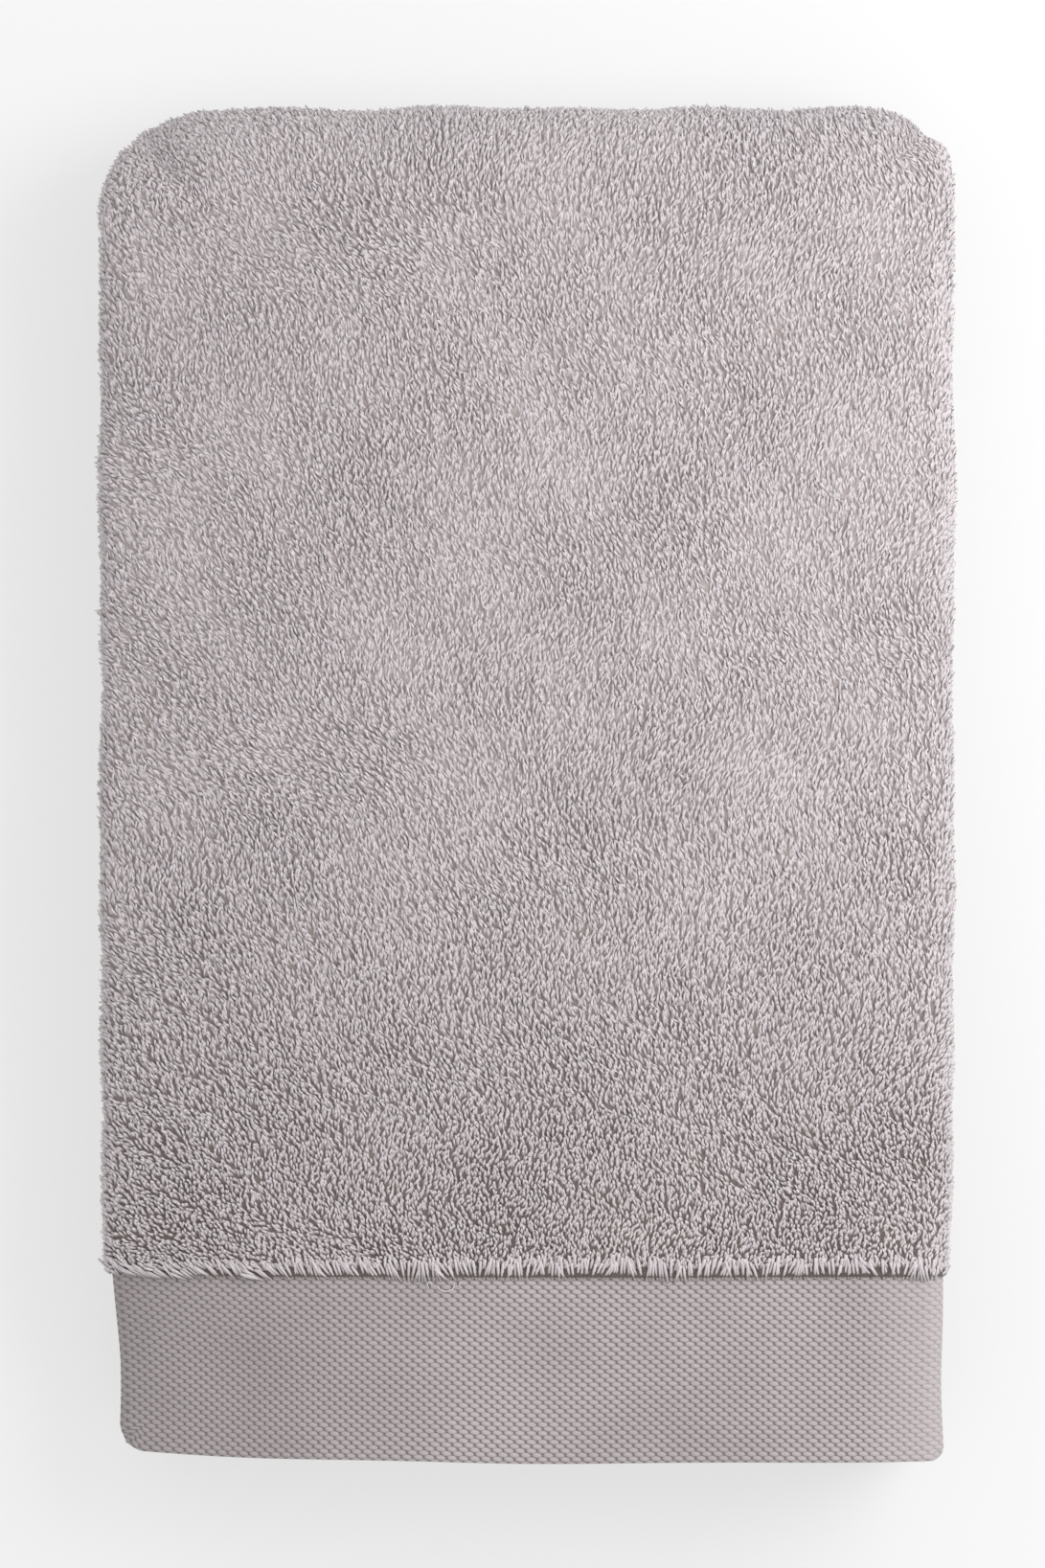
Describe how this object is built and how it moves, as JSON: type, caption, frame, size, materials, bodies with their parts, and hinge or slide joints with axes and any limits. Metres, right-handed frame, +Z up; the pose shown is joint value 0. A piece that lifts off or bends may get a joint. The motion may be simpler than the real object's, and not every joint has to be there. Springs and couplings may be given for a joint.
{
  "type": "folded bath towel",
  "caption": "Plush terry bath towel folded in thirds and then in four, with a flat-woven border band; its front half opens about the top fold.",
  "frame": {"origin": "on the surface the towel lies on, under the middle of its box", "axes": "+X across the folded towel, +Y towards its top fold, +Z up out of its front face"},
  "size_m": [0.238, 0.3836, 0.0537],
  "materials": {
    "terry": "plush looped cotton pile, matt",
    "border": "flat birdseye weave, matt with a faint lustre",
    "hem": "plain woven cotton, turned and stitched",
    "thread": "sewing thread",
    "label": "blank satin tape"
  },
  "bodies": {
    "base_half": {"back_quarter_terry": "terry", "back_quarter_left_side_hem": "hem", "back_quarter_right_side_hem": "hem", "bottom_fold_terry": "terry", "bottom_fold_left_side_hem": "hem", "bottom_fold_right_side_hem": "hem", "inner_back_quarter_terry": "terry", "inner_back_quarter_left_side_hem": "hem", "inner_back_quarter_right_side_hem": "hem", "top_fold_outer_terry": "terry", "top_fold_outer_left_side_hem": "hem", "top_fold_outer_right_side_hem": "hem", "top_fold_inner_terry": "terry", "top_fold_inner_left_side_hem": "hem", "top_fold_inner_right_side_hem": "hem"},
    "front_half": {"front_quarter_terry": "terry", "front_quarter_left_side_hem": "hem", "front_quarter_right_side_hem": "hem", "inner_front_quarter_terry": "terry", "inner_front_quarter_left_side_hem": "hem", "inner_front_quarter_right_side_hem": "hem", "front_border_band": "border", "inner_border_band": "border", "front_end_hem": "border", "inner_end_hem": "border", "front_hem_stitching": "thread", "inner_hem_stitching": "thread", "care_label": "label"}
  },
  "joints": [
    {"name": "top_fold", "type": "hinge", "parent": "base_half", "child": "front_half", "pos_m": [0, 0.16491, 0.02685], "axis": [-1, 0, 0], "range_deg": [0, 179.9], "deforming": ["top_fold_outer_terry", "top_fold_outer_left_side_hem", "top_fold_outer_right_side_hem", "top_fold_inner_terry", "top_fold_inner_left_side_hem", "top_fold_inner_right_side_hem"]}
  ]
}
